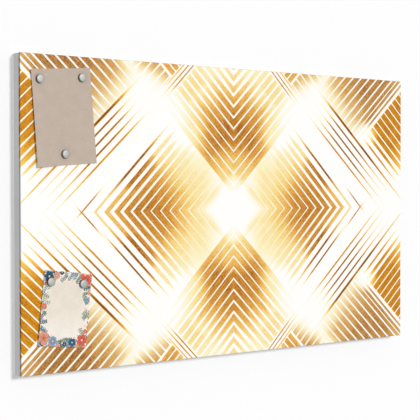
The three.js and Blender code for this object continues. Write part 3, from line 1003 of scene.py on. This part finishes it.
@dataclass
class Workpiece:
    """A mesh on the bench, shaped with Blender's own operators."""

    made: Object

    @classmethod
    def start(
        cls, name: str, primitive: Callable[..., object], stretch: tuple = (1, 1, 1), **settings: object
    ) -> "Workpiece":
        """Add a primitive at its size and place.

        Args:
            name: Name of the piece.
            primitive: Operator that adds it.
            stretch: Scale along the primitive's own axes.
            **settings: What the operator is told.

        Returns:
            The workpiece, out of edit mode.
        """
        bpy.ops.object.select_all(action="DESELECT")
        primitive(**settings)
        made = bpy.context.object
        made.name = made.data.name = name
        made.scale = stretch
        bpy.ops.object.transform_apply(location=True, rotation=True, scale=True)
        return cls(made)

    @classmethod
    def turned(cls, name: str, radius: float, front: float, back: float, corners: int) -> "Workpiece":
        """Start a round piece on the Y axis.

        Args:
            name: Name of the piece.
            radius: Its radius.
            front: Where it starts on the axis.
            back: Where it ends.
            corners: How many corners its circle has.

        Returns:
            The workpiece.
        """
        return cls.start(
            name, bpy.ops.mesh.primitive_cylinder_add, vertices=corners, radius=radius,
            depth=back - front, location=(0, (front + back) / 2, 0), rotation=UPRIGHT,
        )

    @classmethod
    def from_node(cls, name: str, node: str) -> "Workpiece":
        """Take a merged copy of a CAD node's mesh, with its flat faces made whole.

        Args:
            name: Name of the piece.
            node: CAD node that gives its shape.

        Returns:
            The workpiece.
        """
        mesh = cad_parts[node].data.copy()
        mesh.materials.clear()
        mesh.name = name
        made = bpy.data.objects.new(name, mesh)
        bpy.context.collection.objects.link(made)
        only(made)
        bpy.ops.object.mode_set(mode="EDIT")
        bpy.ops.mesh.select_all(action="SELECT")
        bpy.ops.mesh.remove_doubles(threshold=0.002 * MM)
        bpy.ops.mesh.dissolve_limited(angle_limit=math.radians(0.5))
        bpy.ops.object.mode_set(mode="OBJECT")
        return cls(made)

    def pick(self, kind: Pick, test: Callable[[object], bool]) -> None:
        """Enter edit mode and select by place or normal.

        Args:
            kind: What is selected.
            test: Says whether an element is meant.
        """
        only(self.made)
        bpy.ops.object.mode_set(mode="EDIT")
        bpy.ops.mesh.select_mode(type=kind.value)
        bpy.ops.mesh.select_all(action="DESELECT")
        mesh = bmesh.from_edit_mesh(self.made.data)
        for element in mesh.edges if kind is Pick.EDGES else mesh.faces:
            if test(element):
                element.select_set(True)
        mesh.select_flush_mode()
        bmesh.update_edit_mesh(self.made.data)

    def pick_end(self, way: int, steep: float = 0.9, few_corners: int = 8) -> None:
        """Select the round end face that looks along Y, forward for -1 and back for 1."""
        self.pick(Pick.FACES, lambda f: way * f.normal.y > steep and len(f.verts) > few_corners)

    def round_circles(self, level: float, radius: float, width: float, segments: int) -> None:
        """Round the edges that circle the Y axis.

        Args:
            level: Where they lie on the axis.
            radius: The least radius that is meant.
            width: How far the rounding reaches.
            segments: How many steps it has.
        """
        self.pick(Pick.EDGES, lambda e: all(
            abs(v.co.y - level) < TINY and math.hypot(v.co.x, v.co.z) > radius - TINY
            and abs(math.hypot(v.co.x, v.co.z) - math.hypot(e.verts[0].co.x, e.verts[0].co.z)) < TINY
            for v in e.verts
        ))
        bpy.ops.mesh.bevel(offset=width, segments=segments)

    def modify(self, kind: str, **settings: object) -> None:
        """Add one modifier and apply it.

        Args:
            kind: Type of the modifier.
            **settings: What it is told.
        """
        only(self.made)
        modifier = self.made.modifiers.new(kind.title(), kind)
        for key, value in settings.items():
            setattr(modifier, key, value)
        bpy.ops.object.modifier_apply(modifier=modifier.name)

    def smooth(self, angle: float = 35.0, flats: bool = False) -> None:
        """Shade it smooth.

        Args:
            angle: What counts as an edge, in degrees.
            flats: Whether its wide faces stay flat.
        """
        only(self.made)
        bpy.ops.object.shade_smooth_by_angle(angle=math.radians(angle))
        if flats:
            self.modify("WEIGHTED_NORMAL", keep_sharp=True)

    def dress(self, finish: Finish) -> None:
        """Give it its material."""
        self.made.data.materials.clear()
        self.made.data.materials.append(finish.material())

    def fit(self, node: str, slot: str, body: str) -> None:
        """Put it in a CAD node's place and report it.

        Args:
            node: CAD node that it replaces.
            slot: The record's material slot; not used.
            body: Body that it rides.
        """
        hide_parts(node)
        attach(self.made, body)
        log.info("%s rides on %s, %d faces", self.made.name, body, len(self.made.data.polygons))

    def put_copy(self, name: str, node: str, slot: str, body: str) -> None:
        """Put a copy with a mesh of its own in a CAD node's place, moved along X and Z.

        Args:
            name: Name of the copy.
            node: CAD node that it replaces.
            slot: The record's material slot.
            body: Body that it rides.
        """
        made = self.made.copy()
        made.data = self.made.data.copy()
        made.name = made.data.name = name
        bpy.context.collection.objects.link(made)
        centre = middle(node)
        made.data.transform(Matrix.Translation(Vector((centre.x, 0, centre.z))))
        Workpiece(made).fit(node, slot, body)


def dress_node(node: str, finish: Finish) -> None:
    """Give a CAD node that stays its material.

    Args:
        node: The node.
        finish: Its finish.
    """
    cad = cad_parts[node]
    if not cad.material_slots:
        cad.data.materials.append(finish.material())
    for slot in cad.material_slots:
        slot.material = finish.material()
    log.info("%s keeps its solid, in %s", node, finish.name)


# the board


CORNERS = ("top_left", "top_right", "bottom_left", "bottom_right")
SIDES = ("left", "right")
LIPS = ("level_lip", "upright_lip")


def sheet_part(name: str, node: str, slot: str, finish: Finish, edge_round: float = 0.0) -> None:
    """Make a flat-faced part of the board from its solid.

    Args:
        name: Name of the piece.
        node: CAD node that gives its shape and that it replaces.
        slot: The record's material slot.
        finish: Its finish.
        edge_round: How far pressing and coating round its edges.
    """
    part = Workpiece.from_node(name, node)
    if edge_round:
        part.modify("BEVEL", width=edge_round, segments=2, limit_method="ANGLE",
                    angle_limit=math.radians(40.0), use_clamp_overlap=True)
    part.smooth(flats=True)
    part.dress(finish)
    part.fit(node, slot, "board")


@dataclass
class PrintedTray:
    """The folded steel tray and the printed film over its front."""

    edge_round: float = 0.15 * MM

    def build(self) -> None:
        """Make both from their solids, the tray with softened sheet edges."""
        coat, film = PowderCoat("light_grey_powder_coat"), PrintedFilm("printed_polyester_film")
        sheet_part("folded_tray", "steel_tray", "light_grey_coat", coat, self.edge_round)
        sheet_part("printed_front", "print_film", "printed_film", film)


@dataclass
class BackStructure:
    """What stiffens and hangs the board: channels, tapes, keyhole plates, rivets and pads."""

    edge_round: float = 0.25 * MM
    head_radius: float = 3.2 * MM
    head_top: float = -1.0 * MM
    head_under: float = -1.9 * MM
    head_round: float = 0.75 * MM
    shank_radius: float = 1.6 * MM
    tail_radius: float = 2.5 * MM
    tail_start: float = -4.7 * MM
    tail_end: float = -6.3 * MM
    tail_round: float = 0.7 * MM
    mandrel_radius: float = 0.95 * MM
    mandrel_gap: float = 0.15 * MM
    mandrel_sunk: float = 0.35 * MM
    mandrel_rim: float = 0.25 * MM
    mandrel_crown: float = 0.12 * MM
    pad_radius: float = 5.2 * MM
    pad_back: float = -1.9 * MM
    pad_narrows: float = 0.93
    pad_round: float = 0.5 * MM
    pad_rim: float = 1.5 * MM
    pad_slope: float = 0.6 * MM
    pad_cup: float = 0.25 * MM

    def steel_parts(self) -> None:
        """Make the two folded channels, dress their tapes, and make the four keyhole plates."""
        steel, foam = GalvanisedSteel("spangled_galvanised_steel"), FoamTape("acrylic_foam_tape")
        for side in SIDES:
            name, node = f"stiffening_channel_{side}", f"channel_{side}"
            sheet_part(name, node, "galvanised_steel", steel, self.edge_round)
            for edge in ("outer", "inner"):
                dress_node(f"channel_tape_{side}_{edge}", foam)
        for corner in CORNERS:
            name, node = f"hanging_plate_{corner}", f"keyhole_plate_{corner}"
            sheet_part(name, node, "galvanised_steel", steel, self.edge_round)

    def rivets(self) -> None:
        """Model one set blind rivet and copy it to its eight places.

        It has a domed head, a shank, a bulged tail and a cut mandrel.
        """
        first = Workpiece.turned(
            "blind_rivet", self.head_radius, self.head_under, self.head_top, corners=32)
        first.pick_end(-1)
        bpy.ops.mesh.inset(thickness=self.head_radius - self.shank_radius)
        extrude(self.tail_start - self.head_under)
        extrude(0)
        grow = self.tail_radius / self.shank_radius
        bpy.ops.transform.resize(value=(grow, 1, grow), center_override=(0, self.tail_start, 0))
        extrude(self.tail_end - self.tail_start)
        first.round_circles(self.tail_end, self.tail_radius, self.tail_round, segments=3)
        first.pick_end(1)
        bpy.ops.mesh.inset(thickness=self.head_radius - self.mandrel_radius)
        bpy.ops.mesh.inset(thickness=self.mandrel_gap, depth=-self.mandrel_sunk)
        bpy.ops.mesh.inset(thickness=self.mandrel_rim, depth=self.mandrel_crown)
        first.round_circles(self.head_top, self.head_radius, self.head_round, segments=4)
        first.smooth(angle=40.0)
        first.dress(RivetAluminium("drawn_rivet_aluminium"))
        for corner in CORNERS:
            for lip in LIPS:
                node = f"rivet_{corner}_{lip}"
                first.put_copy(f"blind_{node}", node, "rivet_aluminium", "board")
        bpy.data.objects.remove(first.made)

    def pads(self) -> None:
        """Model one rubber pad and copy it to the corners.

        It has a rounded rim and a shallow cup in its back.
        """
        first = Workpiece.turned("rubber_pad", self.pad_radius, self.pad_back, 0.0, corners=48)
        first.pick_end(1)
        bpy.ops.transform.resize(value=(self.pad_narrows, 1, self.pad_narrows), center_override=(0, 0, 0))
        bpy.ops.mesh.inset(thickness=self.pad_rim)
        bpy.ops.mesh.inset(thickness=self.pad_slope, depth=-self.pad_cup)
        first.round_circles(0.0, self.pad_radius * self.pad_narrows, self.pad_round, segments=4)
        first.smooth(angle=40.0)
        first.dress(BlackRubber("moulded_black_rubber"))
        for corner in CORNERS:
            first.put_copy(f"rubber_foot_{corner}", f"wall_pad_{corner}", "black_rubber", "board")
        bpy.data.objects.remove(first.made)

    def build(self) -> None:
        """Make all of the back."""
        self.steel_parts()
        self.rivets()
        self.pads()


# cards and magnets


def eased(share: float, low: float, high: float) -> float:
    """A smooth step from 0 at low to 1 at high."""
    t = min(max((share - low) / (high - low), 0.0), 1.0)
    return t * t * (3 - 2 * t)


@dataclass(frozen=True)
class Curl:
    """How far the edges and the lower left corner of a card stand off the board, in millimetres.

    Where each curl starts or ends is a share of the card's width from its left, or of its height
    from its top.
    """

    left: float
    left_within: float
    low_from: float
    bottom: float = 0.0
    corner: float = 0.0
    corner_within: float = 0.42
    right: float = 0.0
    right_from: float = 0.72
    blend: float = 5.2

    def lift(self, across: float, down: float) -> float:
        """How far one place stands off the board.

        Args:
            across: Share of the card's width from its left edge.
            down: Share of its height from its top.

        Returns:
            The distance in metres.
        """
        low = eased(down, self.low_from, 1)
        left = self.left * (1 - eased(across, 0, self.left_within))
        corner = self.corner * (1 - eased(across, 0, self.corner_within)) * low
        right = self.right * eased(across, self.right_from, 1) * low
        return (corner + left - corner * left / self.blend + right + self.bottom * low) * MM


@dataclass
class Card:
    """A sheet of card held by magnets, its free corners curling off the board.

    Its node and its body have one name. Where its left part lifts it also reaches a little
    further left, `drawn_out` times the lift. It is pressed flat as far as `pressed` from a
    magnet's middle and curls freely from `free` on.
    """

    name: str
    node: str
    slot: str
    finish: Finish
    magnets: tuple[int, ...]
    width: float
    height: float
    centre: Pair
    tilt: float
    curl: Curl
    drawn_out: float = 0.54
    back: float = -30.7 * MM
    thickness: float = 0.4 * MM
    cell: float = 2.0 * MM
    pressed: float = 9.0 * MM
    free: float = 14.5 * MM

    def held_places(self) -> list[Vector]:
        """Where the magnets' middles are on the untilted card.

        Returns:
            Their places from the card's middle.
        """
        untilt = Matrix.Rotation(-self.tilt, 2)
        middles = [middle(f"magnet_cap_{number}") for number in self.magnets]
        return [untilt @ (Vector((m.x, m.z)) - Vector(self.centre)) for m in middles]

    def lifted(self, place: Vector, held: Sequence[Vector]) -> float:
        """How far a place on the card stands off the board.

        Args:
            place: Place from the card's middle.
            held: Where magnets press it.

        Returns:
            The distance in metres, 0 under a magnet.
        """
        nearest = min((place - centre).length for centre in held)
        curl = self.curl.lift(place.x / self.width + 0.5, 0.5 - place.y / self.height)
        return eased(nearest, self.pressed, self.free) * curl

    def build(self) -> None:
        """Model the flat card, curl it, give it its thickness, then tilt and place it."""
        card = Workpiece.start(
            self.name, bpy.ops.mesh.primitive_grid_add, size=1,
            x_subdivisions=round(self.width / self.cell), y_subdivisions=round(self.height / self.cell),
            stretch=(self.width, self.height, 1), rotation=UPRIGHT,
        )
        mesh = card.made.data
        held = self.held_places()
        lifts = [self.lifted(Vector((v.co.x, v.co.z)), held) for v in mesh.vertices]
        most = max(lifts)
        group = card.made.vertex_groups.new(name="curl")
        for vertex, lift in zip(mesh.vertices, lifts):
            group.add([vertex.index], lift / most, "REPLACE")
        # the attribute comes after the group, because filling a group moves a mesh's data
        own = mesh.attributes.new("card_place", "FLOAT_VECTOR", "POINT")
        for vertex, lift in zip(mesh.vertices, lifts):
            own.data[vertex.index].vector = (vertex.co.x / MM, vertex.co.z / MM, 0)
            if vertex.co.x < 0:
                flat = self.curl.lift(0.5, 0.5 - vertex.co.z / self.height)
                vertex.co.x -= self.drawn_out * (lift - flat)
        card.modify("DISPLACE", direction="Y", strength=-most, mid_level=0.0, vertex_group="curl")
        card.modify("SOLIDIFY", thickness=self.thickness, offset=1.0, use_even_offset=True)
        facing = mesh.attributes.new("card_front", "FLOAT", "FACE")
        for polygon in mesh.polygons:
            facing.data[polygon.index].value = 1.0 if polygon.normal.y < -0.5 else 0.0
        card.made.rotation_euler = Euler((0, -self.tilt, 0))
        card.made.location = (self.centre[0], self.back, self.centre[1])
        only(card.made)
        bpy.ops.object.transform_apply(location=True, rotation=True, scale=True)
        card.smooth(angle=30.0)
        card.dress(self.finish)
        card.fit(self.node, self.slot, self.node)


@dataclass
class Magnets:
    """Five round pot magnets: a pressed cup with the disc magnet sunk in its back."""

    count: int = 5
    radius: float = 8.2 * MM
    back: float = -31.4 * MM
    front: float = -36.4 * MM
    wall: float = 1.2 * MM
    front_thickness: float = 0.65 * MM
    edge_round: float = 0.8 * MM
    back_round: float = 0.2 * MM
    groove: float = 0.15 * MM
    groove_inset: float = 0.25 * MM
    groove_slope: float = 0.2 * MM
    crown: float = 0.5 * MM
    crown_rings: int = 6

    def first_cup(self) -> Workpiece:
        """Model one cup on the Y axis, its face crowned inside a groove.

        Returns:
            The cup, dressed.
        """
        rim = self.front + self.crown
        cup = Workpiece.turned("magnet_cup", self.radius, rim, self.back, corners=64)
        cup.pick_end(-1)
        bpy.ops.mesh.inset(thickness=self.edge_round + self.groove_inset)
        bpy.ops.mesh.inset(thickness=self.groove_slope, depth=-self.groove)
        bpy.ops.mesh.inset(thickness=self.groove_slope, depth=self.groove)
        face = self.radius - self.edge_round - self.groove_inset - 2 * self.groove_slope
        for ring in range(self.crown_rings):
            rise = self.crown * (2 * (self.crown_rings - ring) - 1) / self.crown_rings**2
            bpy.ops.mesh.inset(thickness=face / (self.crown_rings + 1), depth=rise)
        cup.pick_end(1)
        bpy.ops.mesh.inset(thickness=self.wall)
        extrude(rim + self.front_thickness - self.back)
        cup.round_circles(rim, self.radius, self.edge_round, segments=6)
        cup.round_circles(self.back, 0.0, self.back_round, segments=2)
        cup.smooth(angle=40.0)
        cup.dress(NickelPlate("bright_nickel_plate"))
        own = cup.made.data.attributes.new("from_middle", "FLOAT_VECTOR", "POINT")
        for vertex in cup.made.data.vertices:
            own.data[vertex.index].vector = vertex.co
        return cup

    def build(self) -> None:
        """Copy the cup to the five places and dress the discs in them."""
        first = self.first_cup()
        alloy = MagnetAlloy("sintered_magnet_alloy")
        for number in range(1, self.count + 1):
            first.put_copy(f"magnet_cup_{number}", f"magnet_cap_{number}", "nickel_plate", f"magnet_{number}")
            dress_node(f"magnet_core_{number}", alloy)
        bpy.data.objects.remove(first.made)


# studio


@dataclass(frozen=True)
class Plaster(Finish):
    """White wall or floor that only the camera sees, from its front: it takes a shadow and lets light by."""

    colour: str
    own_light: float

    def surface(self, tree: NodeTree) -> NodeSocket:
        """Add a chalky white that is clear from behind and to all rays but those that look.

        Args:
            tree: Node tree of the material.

        Returns:
            The shader.
        """
        front = add(tree, Step.MINUS, 1.0, add(tree, Step.SEEN_FROM))
        shown = add(tree, Step.TIMES, looked_at(tree), front)
        chalk = add(tree, Step.CHALK, linear(self.colour))
        lit = add(tree, Step.BOTH_SHADERS, chalk, add(tree, Step.GLOW, WHITE, self.own_light))
        return add(tree, Step.MIX_SHADERS, shown, add(tree, Step.CLEAR), lit)


@dataclass
class Studio:
    """Wall, floor, soft lamps and the camera at the photograph's place.

    Angles of the lamps are in degrees, those of the camera in radians, and its focal length is in
    pixels of the photograph.
    """

    ambient: float = 0.52
    key: float = 0.48
    key_side: float = 10.0
    key_up: float = 16.5
    key_softness: float = 13.0
    behind: float = 0.3
    behind_from: tuple[float, float, float] = (0.12, 1, 0.2)
    behind_softness: float = 30.0
    wall_gap: float = 0.3 * MM
    wall_colour: str = "F8F8F8"
    wall_light: float = 0.05
    floor_height: float = -0.9
    floor_colour: str = "EEEEEE"
    floor_light: float = 0.42
    size: float = 12.0
    sensor: float = 36.0
    focal: float = 1151.5
    image: float = 420.0
    near: float = 0.05
    far: float = 50.0
    yaw: float = -0.642293
    pitch: float = -0.01911
    roll: float = 0.00121
    eye: tuple[float, float, float] = (-1.4936, -1.94151, 0.04936)

    def stage(self) -> None:
        """Add the wall and the floor."""
        for name, place, turn, colour, own_light in (
            ("studio_wall", (0, self.wall_gap, 0), UPRIGHT, self.wall_colour, self.wall_light),
            ("studio_floor", (0, 0, self.floor_height), (0, 0, 0), self.floor_colour, self.floor_light),
        ):
            plane = Workpiece.start(name, bpy.ops.mesh.primitive_plane_add, size=self.size,
                                    location=place, rotation=turn)
            plane.dress(Plaster(f"white_{name}_plaster", colour, own_light))

    def sun(self, name: str, towards: Vector, level: float, softness: float) -> None:
        """Add one soft distant lamp.

        Args:
            name: Name of the lamp.
            towards: Direction from the board to the lamp.
            level: How brightly it lights the board's white front or back, where 1 is white.
            softness: Angle that the lamp covers in the sky, in degrees.
        """
        lamp = bpy.data.lights.new(name, "SUN")
        lamp.energy = math.pi * level / abs(towards.normalized().y)
        lamp.angle = math.radians(softness)
        holder = bpy.data.objects.new(name, lamp)
        holder.rotation_euler = towards.to_track_quat("Z", "Y").to_euler()
        bpy.context.collection.objects.link(holder)

    def light(self) -> None:
        """Add the key from the upper right, the lamp behind the wall and the even studio light."""
        side, up = math.tan(math.radians(self.key_side)), math.tan(math.radians(self.key_up))
        self.sun("soft_key", Vector((side, -1, up)), self.key, self.key_softness)
        self.sun("soft_back", Vector(self.behind_from), self.behind, self.behind_softness)
        world = bpy.data.worlds.new("studio")
        bpy.context.scene.world = world
        world.use_nodes = True
        tree = world.node_tree
        tree.nodes.clear()
        strength = add(tree, Step.SPAN, looked_at(tree), *RISE, self.ambient, 1.0)
        add(tree, Step.WORLD, add(tree, Step.SKY, WHITE, strength))

    def camera(self) -> None:
        """Set up the camera that sees the board as the photograph does."""
        data = bpy.data.cameras.new("photo_camera")
        data.sensor_width = self.sensor
        data.lens = self.sensor * self.focal / self.image
        data.clip_start, data.clip_end = self.near, self.far
        holder = bpy.data.objects.new("photo_camera", data)
        bpy.context.collection.objects.link(holder)
        turn = (
            Matrix.Rotation(self.yaw, 4, "Z") @ Matrix.Rotation(self.pitch, 4, "X")
            @ Matrix.Rotation(self.roll, 4, "Y") @ Matrix.Rotation(math.pi / 2, 4, "X")
        )
        holder.matrix_world = Matrix.Translation(self.eye) @ turn
        bpy.context.scene.camera = holder

    def build(self) -> None:
        """Make all of the studio."""
        self.stage()
        self.light()
        self.camera()
        bpy.context.scene.view_settings.view_transform = "Standard"


def main() -> None:
    """Build the studio, the board, its back, the cards and the magnets in order."""
    logging.basicConfig(level=logging.INFO, format="%(name)s: %(message)s")
    Studio().build()
    PrintedTray().build()
    BackStructure().build()
    Card(
        "tinted_note_card", "note_card", "note_card_stock", CardStock("tinted_card_stock"), (1, 2, 3),
        width=127 * MM, height=183 * MM, centre=(-408 * MM, 184 * MM), tilt=math.radians(4.3),
        curl=Curl(left=3.0, left_within=0.14, low_from=0.2, corner=5.0, right=1.2),
    ).build()
    Card(
        "flowered_invitation", "invitation_card", "invitation_stock",
        FloralCardStock("flowered_card_stock", front="FDF5EA", stock="F6EEE4"), (4, 5),
        width=103 * MM, height=142 * MM, centre=(-407.5 * MM, -180.4 * MM), tilt=math.radians(-6.6),
        curl=Curl(left=1.8, left_within=0.13, low_from=0.3, bottom=3.0),
    ).build()
    Magnets().build()


if __name__ == "__main__":
    main()
